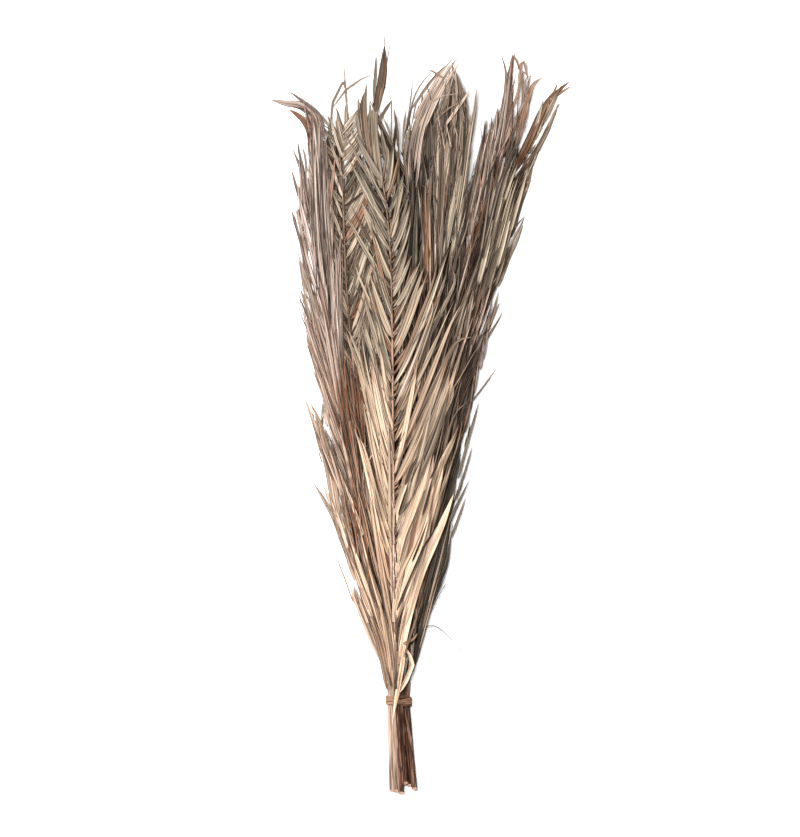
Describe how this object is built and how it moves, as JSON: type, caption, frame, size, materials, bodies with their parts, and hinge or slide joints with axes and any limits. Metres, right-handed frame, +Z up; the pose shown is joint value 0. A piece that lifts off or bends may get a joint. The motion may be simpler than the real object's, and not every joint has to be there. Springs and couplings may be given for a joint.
{
  "type": "tied bunch of dried date palm leaves",
  "caption": "Dried feather palm leaves with long narrow leaflets, gathered by a fibre tie above their cut stems, lying flat as a fan.",
  "frame": {"origin": "centre of the flat underside of the tie, on the surface that the bunch lies on", "axes": "+Y along the bunch from the cut stems to the leaf tips, +Z up from the surface, +X to the right as seen from above with the tips away from the viewer"},
  "size_m": [0.4318, 1.1003, 0.0852],
  "materials": {
    "dried_leaf": "dry, matt, grey-green to brown leaf with fine lengthwise grain",
    "pale_dried_leaf": "dry, matt, pale peach-tan leaf with fine lengthwise grain",
    "twine": "dry brown palm fibre"
  },
  "bodies": {
    "root": {"leaf_back": "dried_leaf", "leaf_left_under": "dried_leaf", "leaf_right_outer": "dried_leaf", "leaf_right_inner": "dried_leaf", "leaf_middle": "dried_leaf", "leaf_left_over": "dried_leaf", "leaf_front": "pale_dried_leaf", "tie": "twine"}
  },
  "joints": []
}
